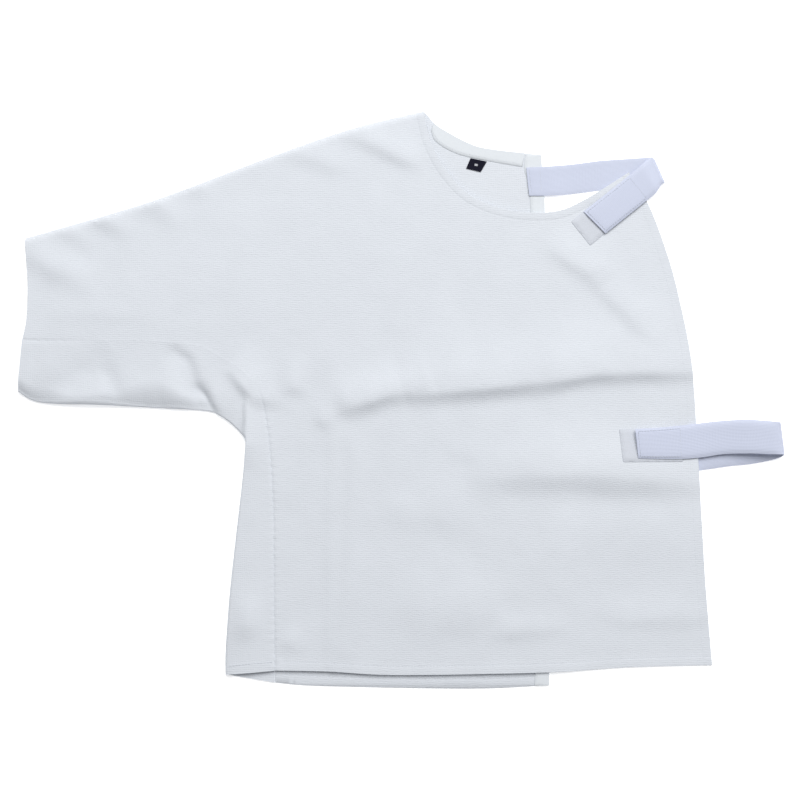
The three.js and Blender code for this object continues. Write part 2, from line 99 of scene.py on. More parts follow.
BACK_HEM = [(148.5, -285), (70.5, -288.5), (-76.5, -286), (-118.5, -283.2), (-125.6, -282.4)]
NECK_FACING_INNER = [(30.2, 270), (35.5, 258), (56.5, 246), (86.5, 239), (121.9, 232.8)]
EDGE_FACING_INNER = [(125.2, 246), (123.6, 231), (129.3, 200), (132, 90), (133.5, -40),
                     (134.8, -170), (134, -285.6)]

# Underarm panel, from cuff to hem: rolled edge, seam with the front, and how much the roll stands up.
UNDERARM_ROWS = table("edge seam rise", [
    ((-381.5, 8), (-376.5, 60), 1.5),
    ((-366, -1), (-364, 59.2), 2.4),
    ((-342.5, -4), (-340.5, 59), 3.6),
    ((-300.5, -5), (-298, 59), 3.4),
    ((-244.5, -8), (-250.5, 59), 5.4),
    ((-206.5, -10), (-221, 56), 5.2),
    ((-188.5, -12), (-202.5, 54), 3.0),
    ((-181, -15.5), (-188.5, 48), 2.2),
    ((-174.5, -19.5), (-176.5, 41), 1.4),
    ((-166.5, -26), (-162.5, 33), 0.8),
    ((-158, -35), (-153.5, 25), 0.6),
    ((-154.6, -41), (-146, 17), 1.8),
    ((-155.2, -52), (-139.5, 6), 2.0),
    ((-156.5, -68), (-134.5, -18), 2.0),
    ((-159.5, -95), (-130, -55), 1.9),
    ((-164.5, -138), (-127, -110), 1.8),
    ((-170.5, -194), (-126.4, -180), 1.7),
    ((-174.5, -250), (-125.8, -245), 1.5),
    ((-174.5, -274), (-125.5, -270), 1.2),
])
LOWER_SEAM_END = (-125.5, -282.4)

# Folds of the upper leaf: crest as (x, y, height), and how far the fold dies away to the left and to
# the right of the line's direction. A negative height is a trough.
FOLDS = table("name left right line", [
    ("waist_ridge_near_side", 24, 10.5, [
        (-75, -13, 0), (-63, -9, 1.5), (-51, -5, 4.8), (-30, 1, 6.6), (-10, 7, 5.8), (10, 11, 3.8),
        (34, 17, 0)]),
    ("waist_ridge_across", 42, 10.5, [
        (4, 3, 0), (28, 8, 5.3), (60, 11.5, 7.2), (100, 15.5, 7.4), (150, 20.5, 6.2), (185, 25, 2.9),
        (215, 28, 0)]),
    ("waist_ridge_far_side", 40, 9.5, [
        (140, 21, 0), (175, 25, 3.3), (205, 28, 6.1), (250, 29, 5.8), (282, 29, 3.3), (305, 30, 1.6)]),
    ("swell_over_strap", 38, 17, [
        (64, -76, 0), (100, -74, 3.4), (140, -72, 5.4), (200, -73, 7.8), (240, -75, 7),
        (280, -78, 4.2), (305, -80, 2.2)]),
    ("packing_crease_left", 14, 6, [
        (-70, 60, 0), (-69, 0, 0.5), (-68, -60, 1.0), (-69, -140, 1.1), (-70, -262, 0.8)]),
    ("packing_crease_right", 14, 7, [
        (-50, -20, 0), (-47, -50, 1.2), (-48, -120, 1.1), (-52, -200, 1.4), (-58, -250, 0.8),
        (-62, -266, 0)]),
    ("chest_crease", 22, 9, [
        (143, 157, 0), (166, 143, 2.9), (190, 127, 3.4), (201, 113, 1.6), (215, 97, 2.7), (234, 80, 2.7),
        (266, 53, 0)]),
    ("shoulder_crease", 17, 8, [
        (-66, 268, 0), (-34, 259, 2.8), (3, 241, 3.0), (26, 233, 0)]),
    ("underarm_crease", 7, 15, [
        (-238, 50, 0), (-226, 46, -2.4), (-214, 38, -3), (-208, 24, -3.4), (-204, 10, -5),
        (-199, -3, -6.4), (-194, -16, -6.4)]),
    ("armpit_flap", 22, 6.5, [
        (-174, 34, 0), (-165, 27, 2.6), (-154, 14, 4.8), (-147, 3, 4.2), (-149, -7, 0)]),
    ("armpit_tuck", 15, 2.2, [
        (-152, 4, 0), (-154, -6, 2.8), (-154.4, -44, 3.2), (-156, -70, 0)]),
])

# Smaller creases that only the cloth shows.
SMALL_FOLDS = table("name left right line", [
    ("underarm_fall", 7.5, 6, [(-202, 18, 0), (-197, 2, -6), (-189, -20, -8)]),
    ("cuff_crease", 20, 14, [
        (-378, 150, 2.0), (-360, 143, 3.2), (-342, 131, 3.7), (-316, 117, 2.0), (-298, 110, 0)]),
    ("sleeve_edge_near_cuff", 11, 9, [
        (-350, 169, 0), (-330, 167, 2.1), (-318, 161, 1.5), (-300, 153, 0)]),
    ("sleeve_edge_middle", 10, 10, [
        (-318, 180, 0), (-298, 181, 2.9), (-282, 175, 2.0), (-262, 165, 0)]),
    ("sleeve_edge_high", 10, 11, [
        (-264, 195, 0), (-246, 196, 2.5), (-233, 187, 1.9), (-222, 170, 0)]),
    ("sleeve_edge_upper", 9, 9, [
        (-214, 208, 0), (-200, 210, 1.3), (-186, 204, 0)]),
    ("second_shoulder_crease", 16, 9, [
        (-122, 250, 0), (-92, 243, 2), (-70, 236, 1.8), (-46, 227, 0)]),
    ("under_sleeve_hollow", 17, 14, [
        (-380, -4, -2), (-352, 4, -3.2), (-330, 14, -3.6), (-312, 28, -3.4), (-299, 43, -1.6),
        (-291, 54, 0)]),
    ("under_sleeve_dimple", 10, 8, [
        (-298, 36, 0), (-292, 26, -2.1), (-282, 10, -1.8), (-276, 2, 0)]),
    ("sleeve_bottom_softness", 12, 9, [
        (-362, 82, 0), (-330, 88, 0.7), (-280, 86, 0.5), (-240, 84, 0)]),
    ("waist_dimple", 22, 8, [(-122, 11, 0), (-107, 14, 2.6), (-90, 11, 0)]),
    ("lower_dimple", 16, 8, [(-89, -18, 0), (-77, -19, 2), (-65, -16, 0)]),
    ("belly_swell", 22, 15, [
        (-34, -110, 0), (0, -112, 1.2), (40, -114, 1.3), (84, -120, 0)]),
    ("belly_dimple", 10, 8, [(46, -50, 0), (66, -52, 0.7), (86, -54, 0)]),
    ("left_hem_swell", 34, 27, [
        (-22, -200, 0), (24, -206, 2.7), (70, -210, 2.5), (104, -204, 0)]),
    ("hem_swell", 16, 9, [
        (86, -230, 0), (112, -231, 1.8), (140, -227, 1.7), (168, -222, 0)]),
    ("corner_swell", 16, 10, [
        (186, -208, 0), (226, -216, 1.4), (270, -218, 1.4), (306, -214, 0.7)]),
    ("low_swell", 34, 36, [
        (110, -128, 0), (176, -132, 1.7), (250, -130, 2), (308, -132, 1.3)]),
    ("side_panel_swell", 30, 13, [
        (-174, -222, 0), (-154, -224, 3.2), (-134, -228, 0)]),
    ("left_hem_crease", 16, 7, [
        (-122, -236, 0), (-110, -243, 1.5), (-98, -254, 0)]),
    ("high_chest_softness", 30, 20, [
        (110, 170, 0), (124, 130, 0.5), (112, 80, 0.7), (96, 40, 0)]),
    ("sleeve_softness", 24, 10, [
        (-158, 210, 0), (-160, 150, 0.5), (-164, 96, 0.5), (-166, 60, 0)]),
])

# How far the upper leaf sinks towards the rolled edge of the underarm panel: x, drop, reach.
ROLL_DROPS = [(-382, 6.4, 15), (-350, 7.2, 16), (-322, 5, 10), (-300, 6, 12), (-280, 9, 19),
              (-255, 12, 27), (-238, 12.4, 29), (-222, 10.4, 22), (-205, 6.6, 14), (-190, 3.6, 12),
              (-176, 3.4, 30), (-162, 2.6, 34), (-156, 1, 20), (-150, 0.6, 12)]

# Straps as pairs of points across the elastic, from the sewn end to the loose end. "tip" is how much
# higher the near edge lies than the far one.
NECK_STRAP_ROWS = table("near far on lift turn", [
    ((125.5, 232), (128.6, 203.8), "floor", 3.7, 0),
    ((145.5, 233), (147.5, 204), "floor", 3.7, 0),
    ((172, 235.5), (172, 206), "floor", 0.6, 0),
    ((199.5, 239), (199.5, 209.5), "floor", 0.6, 0),
    ((228, 241), (232, 212.5), "floor", 0.6, 0),
    ((249, 242.5), (261, 216.5), "floor", 0.65, 0),
    ((251.2, 242.3), (263.2, 216.6), "floor", 1.0, 35),
    ((252.4, 242), (264, 216.6), "floor", 2.2, 90),
    ((251.2, 242.3), (263.2, 216.6), "floor", 3.4, 145),
    ((249, 242), (261, 215.6), "floor", 3.8, 180),
    ((238, 232.5), (254.5, 206.5), "front", 3.2, 180),
    ((223, 220), (243.2, 197), "front", 3.1, 180),
    ((203, 204), (224.5, 182), "front", 3.1, 180),
    ((182.5, 188), (204.5, 166), "front", 3.1, 180),
])
WAIST_STRAP_ROWS = table("near far on lift turn tip", [
    ((134, -60), (136.5, -90), "floor", 3.7, 0),
    ((152, -58), (154, -88), "floor", 3.7, 0),
    ((182, -55), (184.5, -85), "floor", 0.6, 0),
    ((240, -47.5), (243, -77.5), "floor", 0.6, 0),
    ((297, -40.5), (298.5, -70.5), "floor", 0.6, 0, 3),
    ((329, -36), (330, -66), "floor", 0.6, 0, 6),
    ((349, -31.5), (350, -64), "floor", 0.7, 0, 7),
    ((367, -26), (371, -60), "floor", 1.4, 15, 5),
    ((375.5, -23), (380.5, -56.5), "floor", 4.2, 50),
    ((378, -22), (382, -54.5), "floor", 8.2, 90),
    ((375, -21.8), (380, -54), "floor", 12, 140),
    ((366, -20.8), (370, -54), "floor", 13.4, 172),
    ((345, -19.5), (347, -53.2), "floor", 12.2, 184),
    ((322, -20.6), (322, -54), "floor", 8.8, 186),
    ((299.5, -23), (300, -57.3), "front", 3.4, 182),
    ((280, -25.3), (281, -58.8), "front", 3.1, 180),
    ((257, -27.5), (259, -58.8), "front", 3.1, 180),
    ((233.5, -28.8), (236.5, -58.2), "front", 3.1, 180),
])
NECK_PATCH = [(170, 178), (189.5, 154), (236.5, 193.5), (217, 217)]
NECK_TAB = [(184.5, 187.2), (204, 167.7), (239, 197), (220.5, 217.5)]
WAIST_PATCH = [(218, -28.8), (221.5, -61.8), (282, -61.5), (280, -27)]
WAIST_TAB = [(235, -29.8), (238, -57.4), (282, -57), (281, -26.8)]
LABEL = [(65.5, 231.2), (80.2, 227.8), (86.3, 238.2), (70, 241.6)]
HIDDEN_STRAPS = [
    {"middle": [(190, 222.5), (229, 226.5), (257, 229.5)], "top": [1.2, 1.2, 1.2]},
    {"middle": [(135, -75), (153, -73), (184, -70), (298, -55.5), (350, -48)],
     "top": [4.3, 4.3, 1.2, 1.2, 1.2]},
]

# Sewing: how far in the stitches run beside each edge, and how the cloth answers to them.
NECK_HEM = 8.2
EDGE_HEM = 8.5
FRONT_HEM_IN = 9.0
BACK_HEM_IN = 10
CUFF_HEM = 11
FACING_STITCH = 2.6
PATCH_STITCH = 2.0
HEM_RISE = 0.35
STITCH_SINK = 0.4
STITCH_PITCH = 3.1
STITCH_LENGTH = 2.3
STITCH_THICKNESS = 0.36
PUCKER_PITCH = 8.5
SEAM_CLOSE = -0.05
SEAM_SINK = [(0, 0.5), (45, 0.25), (80, -0.1), (150, -0.14), (235, -0.12), (280, 0.8), (700, 0.85)]


# ---- lines and distances ----
def smooth(value):
    t = np.clip(value, 0, 1)
    return t * t * (3 - 2 * t)


def between(a, b, out, into, t):
    """A smooth step from a to b, which leaves along `out` and arrives along `into`."""
    return (a * (2 * t**3 - 3 * t**2 + 1) + out * (t**3 - 2 * t**2 + t)
            + b * (3 * t**2 - 2 * t**3) + into * (t**3 - t**2))


def runs(path):
    """The run along a path at each of its points."""
    return np.concatenate([[0], np.cumsum(np.linalg.norm(np.diff(path, axis=0), axis=1))])


def curved(points, spacing=2.4):
    """Places about `spacing` apart on a smooth curve through the points; extra columns go along."""
    points = np.array(points, float)
    found = []
    for i in range(len(points) - 1):
        a, b = points[i], points[i + 1]
        before, after = points[max(i - 1, 0)], points[min(i + 2, len(points) - 1)]
        out, into = (b - before) / 2, (after - a) / 2
        count = max(1, round(float(np.hypot(*(b - a)[:2])) / spacing))
        found += [between(a, b, out, into, t) for t in np.arange(count) / count]
    found.append(points[-1])
    return np.array(found)


def nearest_on(path, places):
    """For each place, its distance from a path, the side (left is positive), the run along the path,
    and the segment with the share along it."""
    path = np.asarray(path, float)[:, :2]
    steps = np.diff(path, axis=0)
    lengths = np.hypot(*steps.T)
    starts = np.concatenate([[0], np.cumsum(lengths)[:-1]])
    distance = np.full(len(places), np.inf)
    side, run, segment, share = (np.zeros(len(places)) for _ in range(4))
    for i, (start, step) in enumerate(zip(path, steps)):
        offset = places - start
        along = np.clip(offset @ step / (step @ step), 0, 1)
        away = np.hypot(*(offset - along[:, None] * step).T)
        closer = away < distance
        distance = np.where(closer, away, distance)
        side = np.where(closer, np.sign(step[0] * offset[:, 1] - step[1] * offset[:, 0]), side)
        run = np.where(closer, starts[i] + along * lengths[i], run)
        segment = np.where(closer, i, segment)
        share = np.where(closer, along, share)
    return {"distance": distance, "side": side, "run": run, "segment": segment.astype(int), "share": share}


def moved_left(path, shift):
    """A path moved sideways, to the left of its direction."""
    path = np.asarray(path, float)
    along = np.gradient(path, axis=0)
    along /= np.hypot(*along.T)[:, None]
    return path + shift * np.column_stack([-along[:, 1], along[:, 0]])


def inside(outline, places):
    """Which places lie inside a closed outline."""
    found = np.zeros(len(places), bool)
    for (ax, ay), (bx, by) in zip(outline, np.roll(outline, -1, axis=0)):
        if ay == by:
            continue
        crosses = (ay > places[:, 1]) != (by > places[:, 1])
        found ^= crosses & (places[:, 0] < (bx - ax) * (places[:, 1] - ay) / (by - ay) + ax)
    return found


def unevenness(places, size, seed):
    """Soft noise from -1 to 1 over the cloth."""
    return np.array([noise.noise(Vector((x / size, y / size, seed))) for x, y in places])


# ---- the form of the upper leaf ----
shoulder_line = curved(SHOULDER_SEAM, 8)
underarm_seam = np.array([row["seam"] for row in UNDERARM_ROWS], float)


def fold_height(fold, places, wander=0.0, seed=0.0):
    near = nearest_on(fold["line"], places)
    heights = np.array([point[2] for point in fold["line"]], float)
    height = heights[near["segment"]] * (1 - near["share"]) + heights[near["segment"] + 1] * near["share"]
    distance = near["distance"] * near["side"] + wander * unevenness(places, 26, seed)
    reach = np.where(distance > 0, fold["left"], fold["right"])
    return height * np.exp(-((distance / reach) ** 2))


def strap_room(strap, places):
    """Room that the front leaves over a strap hidden below it."""
    near = nearest_on(strap["middle"], places)
    tops = np.array(strap["top"])
    top = tops[near["segment"]] * (1 - near["share"]) + tops[near["segment"] + 1] * near["share"]
    return (top + GAP + 0.1) * (1 - smooth((near["distance"] - STRAP_HALF) / STRAP_EASE))


def underside(places):
    """Height of the underside of the upper leaf, front and underarm panel alike."""
    from_shoulder = nearest_on(shoulder_line, places)["distance"]
    ease = smooth(from_shoulder / SHOULDER_ROUND)
    over_back = 1 - smooth((places[:, 0] - STEP_START) / STEP_WIDTH)
    rising = SEAM_LIFT + (BODY_LIFT - SEAM_LIFT) * ease
    in_sleeve = smooth((-110 - places[:, 0]) / 130) * smooth(from_shoulder / SLEEVE_ROUND)
    folded = sum(fold_height(fold, places, 1.6, i) for i, fold in enumerate(FOLDS))
    folded += sum(fold_height(fold, places, 3, 20 + i) for i, fold in enumerate(SMALL_FOLDS))
    folded += 0.45 * (1 + unevenness(places, 62, 3.5)) + 0.2 * (1 + unevenness(places, 23, 7.5))
    folded += 0.06 * (1 + unevenness(places, 9, 9.5))
    lying = rising * over_back + SLEEVE_LIFT * in_sleeve + folded * ease
    rooms = [strap_room(strap, places) for strap in HIDDEN_STRAPS]
    return np.maximum.reduce([lying, *rooms, np.zeros(len(places))])


def sewn_edge(path, width, rise=HEM_RISE, sink=STITCH_SINK, reach=0.8):
    """A stitched edge: its line, the distance of the stitches from it, and the relief they make.
    sink is a depth, or pairs of a run along the line and the depth there."""
    depths = sink if isinstance(sink, list) else [(0, sink)]
    return {"path": path, "width": width, "rise": rise, "sink": depths, "reach": reach}


def relief(edges, places):
    """Thickness that turned hems add and that stitches take away."""
    raised = np.zeros(len(places))
    sunk = np.zeros(len(places))
    for number, edge in enumerate(edges):
        near = nearest_on(edge["path"], places)
        from_stitch = near["distance"] - edge["width"]
        depth = np.interp(near["run"], *zip(*edge["sink"]))
        raised = np.maximum(raised, edge["rise"] * (1 - smooth((from_stitch - 0.3) / 1.4)))
        sunk += depth * np.exp(-((from_stitch / edge["reach"]) ** 2))
        swing = np.sin(near["run"] * 2 * np.pi / PUCKER_PITCH + 2.5 * np.sin(near["run"] / 31 + number))
        sunk += 0.3 * depth * swing * np.exp(-((from_stitch / 4.5) ** 2))
    return raised - sunk


# ---- mesh making ----
def finished(name, points, faces, material, crisp=0.8):
    """A mesh object in metres, faces outwards, smooth but for edges sharper than the crisp angle."""
    mesh = bpy.data.meshes.new(name)
    mesh.from_pydata((np.asarray(points) * MM).tolist(), [], faces)
    mesh.validate()
    mesh.polygons.foreach_set("use_smooth", [True] * len(mesh.polygons))
    mesh.set_sharp_from_angle(angle=crisp)
    mesh.materials.append(material)
    mesh.update()
    piece = bpy.data.objects.new(name, mesh)
    bpy.context.scene.collection.objects.link(piece)
    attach(piece, "root")
    return piece


def lattice(outline, spacing):
    """Places of a triangle net over an outline's box."""
    low, high = outline.min(axis=0), outline.max(axis=0)
    found = []
    for j, y in enumerate(np.arange(low[1], high[1], spacing * math.sqrt(3) / 2)):
        across = np.arange(low[0] + (j % 2) * spacing / 2, high[0], spacing)
        found.append(np.column_stack([across, np.full(len(across), y)]))
    return np.concatenate(found)


def turned_area(outline):
    """Area of an outline, negative where it runs clockwise."""
    turn = np.roll(outline, -1, axis=0)
    return (outline[:, 0] * turn[:, 1] - outline[:, 1] * turn[:, 0]).sum() / 2


def laid_cloth(name, outline, bottom_at, top_at, material, spacing, guides=(), rounding=0.4):
    """Cloth between two heights over an outline: a fine triangle net with a rounded edge.

    guides are lines of extra points, where the relief is finer than the net."""
    outline = np.asarray(outline, float)
    rounding = np.broadcast_to(rounding, len(outline))
    if turned_area(outline) < 0:
        outline, rounding = outline[::-1], rounding[::-1]
    onward = np.roll(outline, -1, axis=0) - np.roll(outline, 1, axis=0)
    onward /= np.hypot(*onward.T)[:, None]
    rim = outline + np.reshape(rounding, (-1, 1)) * np.column_stack([-onward[:, 1], onward[:, 0]])
    closed = np.vstack([rim, rim[:1]])
    extra = lattice(rim, spacing)
    if guides:
        extra = extra[nearest_on_any(guides, extra) > spacing * 0.55]
        extra = np.concatenate([extra, *[np.asarray(guide, float)[:, :2] for guide in guides]])
    extra = extra[inside(rim, extra)]
    extra = extra[nearest_on(closed, extra)["distance"] > 0.6]
    count = len(rim)
    flat, _, faces, *_ = delaunay_2d_cdt(
        [Vector(p) for p in np.vstack([rim, extra]).tolist()],
        [(i, (i + 1) % count) for i in range(count)], [], 1, 1e-4)
    flat = np.array([tuple(p) for p in flat])
    low, high = bottom_at(flat), top_at(flat)
    total = len(flat)
    middle = (low[:count] + high[:count]) / 2
    points = np.vstack([np.column_stack([flat, low]), np.column_stack([flat, high]),
                        np.column_stack([outline, middle])])
    skin = [tuple(i + total for i in face) for face in faces] + [tuple(reversed(face)) for face in faces]
    for i in range(count):
        j = (i + 1) % count
        skin.append((i, j, 2 * total + j, 2 * total + i))
        skin.append((2 * total + i, 2 * total + j, total + j, total + i))
    return finished(name, points, skin, material)


def nearest_on_any(lines, places):
    return np.minimum.reduce([nearest_on(line, places)["distance"] for line in lines])


def lofted(name, sections, material, across=None):
    """A closed skin through closed sections of equal count. across gives each section point's place
    over the width, and makes a UV map of width and run, in millimetres."""
    sections = np.asarray(sections, float)
    rows, count, _ = sections.shape
    points = sections.reshape(-1, 3)
    faces = []
    for s in range(rows - 1):
        for k in range(count):
            a, b = s * count + k, s * count + (k + 1) % count
            faces.append((a, b, b + count, a + count))
    faces.append(tuple(range(count))[::-1])
    faces.append(tuple(range((rows - 1) * count, rows * count)))
    volume = 0.0
    for face in faces[:-2]:
        for a, b, c in ((0, 1, 2), (0, 2, 3)):
            volume += np.dot(points[face[a]], np.cross(points[face[b]], points[face[c]]))
    if volume < 0:
        faces = [face[::-1] for face in faces]
    piece = finished(name, points, faces, material)
    if across is not None:
        run = runs(sections.mean(axis=1))
        layer = piece.data.uv_layers.new(name="webbing")
        for loop in piece.data.loops:
            row, k = divmod(loop.vertex_index, count)
            layer.data[loop.index].uv = (across[k], run[row])
    return piece


def capsules(name, ends, radius, material, sides=6):
    """One mesh of short rounded rods, each from one end to the other."""
    starts, stops = (np.array([pair[i] for pair in ends], float) for i in (0, 1))
    along = stops - starts
    length = np.linalg.norm(along, axis=1)[:, None]
    along /= length
    across = np.cross(along, (0, 0, 1))
    across /= np.linalg.norm(across, axis=1)[:, None]
    up = np.cross(across, along)
    rings = [(0.0, 0.55), (0.16, 0.92), (0.5, 1.0), (0.84, 0.92), (1.0, 0.55)]
    angles = np.arange(sides) * 2 * math.pi / sides
    blocks = []
    for share, width in rings:
        for angle in angles:
            swing = across * math.cos(angle) + up * math.sin(angle)
            blocks.append(starts + along * length * share + swing * radius * width)
    points = np.stack(blocks, axis=1)
    block = points.shape[1]
    faces = []
    for number in range(len(ends)):
        base = number * block
        for ring in range(len(rings) - 1):
            for k in range(sides):
                a = base + ring * sides + k
                b = base + ring * sides + (k + 1) % sides
                faces.append((a, b, b + sides, a + sides))
        faces.append(tuple(base + k for k in reversed(range(sides))))
        faces.append(tuple(base + block - sides + k for k in range(sides)))
    return finished(name, points.reshape(-1, 3), faces, material, math.pi)


# ---- finishes ----
class Finish:
    """A material built node by node, read on the piece's own coordinates."""

    def __init__(self, name, colour, roughness, sheen, sheen_roughness=0.5):
        self.material = bpy.data.materials.new(name)
        self.material.use_nodes = True
        self.nodes = self.material.node_tree.nodes
        self.links = self.material.node_tree.links
        self.shader = self.nodes["Principled BSDF"]
        self.shader.inputs["Roughness"].default_value = roughness
        self.shader.inputs["Sheen Weight"].default_value = sheen
        self.shader.inputs["Sheen Roughness"].default_value = sheen_roughness
        self.shader.inputs["Specular IOR Level"].default_value = 0.15
        self.shader.inputs["Base Color"].default_value = (*colour, 1)
        self.colour = colour
        self.place = self.nodes.new("ShaderNodeTexCoord").outputs["Object"]

    def read_uv(self):
        uv = self.nodes.new("ShaderNodeUVMap")
        uv.uv_map = "webbing"
        self.place = uv.outputs["UV"]

    def scaled(self, sizes):
        """The coordinates divided by the given sizes, in metres or in the map's own units."""
        mapping = self.nodes.new("ShaderNodeMapping")
        mapping.inputs["Scale"].default_value = [1 / size for size in sizes]
        self.links.new(self.place, mapping.inputs["Vector"])
        return mapping.outputs["Vector"]

    def noise(self, sizes, detail=2.0, roughness=0.5):
        node = self.nodes.new("ShaderNodeTexNoise")
        node.inputs["Scale"].default_value = 1.0
        node.inputs["Detail"].default_value = detail
        node.inputs["Roughness"].default_value = roughness
        self.links.new(self.scaled(sizes), node.inputs["Vector"])
        return node.outputs["Fac"]

    def maths(self, operation, *values):
        node = self.nodes.new("ShaderNodeMath")
        node.operation = operation
        for socket, value in zip(node.inputs, values):
            if isinstance(value, (int, float)):
                socket.default_value = value
            else:
                self.links.new(value, socket)
        return node.outputs["Value"]

    def axes(self, sizes):
        split = self.nodes.new("ShaderNodeSeparateXYZ")
        self.links.new(self.scaled(sizes), split.inputs["Vector"])
        return split.outputs

    def wave(self, along, shift=0.0):
        """A wave from 0 to 1 with one crest for each unit of `along`."""
        turned = self.maths("MULTIPLY_ADD", along, 2 * math.pi, shift)
        return self.maths("MULTIPLY_ADD", self.maths("SINE", turned), 0.5, 0.5)

    def tint(self, amount, low, high):
        """Colour between two shades of the base, driven by a value from 0 to 1."""
        ramp = self.nodes.new("ShaderNodeValToRGB")
        ramp.color_ramp.elements[0].color = (*[c * low for c in self.colour], 1)
        ramp.color_ramp.elements[1].color = (*[min(1, c * high) for c in self.colour], 1)
        self.links.new(amount, ramp.inputs["Fac"])
        self.links.new(ramp.outputs["Color"], self.shader.inputs["Base Color"])

    def bumps(self, *layers):
        """Bumps one after another, each a height, its depth in metres and its strength."""
        normal = None
        for height, depth, strength in layers:
            node = self.nodes.new("ShaderNodeBump")
            node.inputs["Distance"].default_value = depth
            node.inputs["Strength"].default_value = strength
            self.links.new(height, node.inputs["Height"])
            if normal is not None:
                self.links.new(normal, node.inputs["Normal"])
            normal = node.outputs["Normal"]
        self.links.new(normal, self.shader.inputs["Normal"])


def shell_cloth():
    """Matt white protective cloth: a firm plain weave with slightly heavier cross ribs."""
    cloth = Finish("shell_cloth", (0.698, 0.73, 0.779), 0.88, 0.12)
    wander = cloth.noise((0.008, 0.008, 0.008), 3, 0.6)
    x, y, _ = cloth.axes((0.0019, 0.0021, 1))
    ribs = cloth.wave(cloth.maths("MULTIPLY_ADD", wander, 1.7, y))
    ends = cloth.wave(cloth.maths("MULTIPLY_ADD", wander, 1.7, x))
    weave = cloth.maths("MULTIPLY_ADD", ends, 0.55, cloth.maths("MULTIPLY", ribs, 0.75))
    slubs = cloth.noise((0.0035, 0.0012, 0.0035), 3, 0.6)
    patches = cloth.noise((0.03, 0.03, 0.03), 3, 0.55)
    shade = cloth.maths("ADD", cloth.maths("MULTIPLY", patches, 0.6), cloth.maths("MULTIPLY", slubs, 0.4))
    cloth.tint(shade, 0.95, 1.04)
    cloth.bumps((patches, 0.0012, 0.3), (weave, 0.00025, 0.45), (slubs, 0.0005, 0.65))
    return cloth.material


def facing_cloth():
    """The same white in a lighter, smoother cloth."""
    cloth = Finish("facing_cloth", (0.715, 0.75, 0.785), 0.85, 0.1)
    x, y, _ = cloth.axes((0.0013, 0.0013, 1))
    weave = cloth.maths("MULTIPLY", cloth.wave(x), cloth.wave(y))
    slubs = cloth.noise((0.002, 0.002, 0.002), 2)
    cloth.tint(slubs, 0.97, 1.03)
    cloth.bumps((weave, 0.0001, 0.4), (slubs, 0.00015, 0.4))
    return cloth.material


def elastic_webbing():
    """Cool white elastic: fine ribs along its length, a tight knit across them."""
    webbing = Finish("elastic_webbing", (0.595, 0.635, 0.768), 0.8, 0.1)
    webbing.read_uv()
    across, run, _ = webbing.axes((1.25, 1.5, 1))
    ribs = webbing.wave(across)
    picks = webbing.wave(run, 0.7)
    knit = webbing.maths("MULTIPLY_ADD", picks, 0.4, ribs)
    fuzz = webbing.noise((1.8, 1.8, 1.8), 3, 0.6)
    shade = webbing.maths("MULTIPLY_ADD", ribs, 0.35, webbing.maths("MULTIPLY", fuzz, 0.65))
    webbing.tint(shade, 0.95, 1.045)
    webbing.bumps((knit, 0.00022, 0.55), (fuzz, 0.0002, 0.4))
    return webbing.material


def loop_tape():
    """Napped white loop tape."""
    tape = Finish("loop_tape", (0.61, 0.638, 0.695), 0.95, 0.2, 0.35)
    fuzz = tape.noise((0.0011, 0.0011, 0.0011), 4, 0.7)
    clumps = tape.noise((0.005, 0.005, 0.005), 2)
    tape.tint(tape.maths("MULTIPLY_ADD", clumps, 0.4, tape.maths("MULTIPLY", fuzz, 0.6)), 0.95, 1.05)
    tape.bumps((clumps, 0.0004, 0.3), (fuzz, 0.0005, 0.6))
    return tape.material


def hook_tape():
    """White hook tape: rows of fine hooks."""
    tape = Finish("hook_tape", (0.68, 0.71, 0.76), 0.6, 0.0)
    x, y, _ = tape.axes((0.0016, 0.0016, 1))
    hooks = tape.maths("POWER", tape.maths("MULTIPLY", tape.wave(x), tape.wave(y)), 3.0)
    grain = tape.noise((0.0014, 0.0014, 0.0014), 2)
    tape.tint(grain, 0.96, 1.04)
    tape.bumps((hooks, 0.0006, 0.8), (grain, 0.0001, 0.3))
    return tape.material


def label_cloth():
    """Black woven label with a satin face."""
    cloth = Finish("label_cloth", (0.002, 0.0022, 0.012), 0.65, 0.02, 0.3)
    x, y, _ = cloth.axes((0.0004, 0.0008, 1))
    weave = cloth.maths("MULTIPLY_ADD", cloth.wave(x), 0.6, cloth.wave(y))
    grain = cloth.noise((0.0012, 0.0012, 0.0012), 2)
    cloth.tint(grain, 0.8, 1.3)
    cloth.bumps((weave, 0.0001, 0.5), (grain, 0.0001, 0.3))
    return cloth.material


def thread(name, colour):
    """Spun sewing thread: fine turns and a slight gloss."""
    strand = Finish(name, colour, 0.55, 0.1)
    twist = strand.noise((0.0006, 0.0006, 0.0006), 2)
    strand.tint(twist, 0.93, 1.05)
    strand.bumps((twist, 0.0001, 0.5))
    return strand.material


SHELL = shell_cloth()
FACING = facing_cloth()
WEBBING = elastic_webbing()
LOOPS = loop_tape()
HOOKS = hook_tape()
LABEL_CLOTH = label_cloth()
WHITE_THREAD = thread("white_thread", (0.66, 0.69, 0.74))
PALE_THREAD = thread("pale_thread", (0.55, 0.57, 0.6))


# ---- the panels ----
neckline = curved(FRONT_NECKLINE)
free_edge = curved(FRONT_EDGE)
front_hem = curved(FRONT_HEM)
back_neckline = curved(BACK_NECKLINE)
back_edge = curved(BACK_EDGE)
back_hem = curved(BACK_HEM)
cuff_edge = curved(CUFF_EDGE)
shoulder_edge = curved(SHOULDER_SEAM)
seam_with_front = curved([row["seam"] for row in UNDERARM_ROWS])
seam_with_back = curved([*[row["seam"] for row in UNDERARM_ROWS[:-1]], LOWER_SEAM_END])

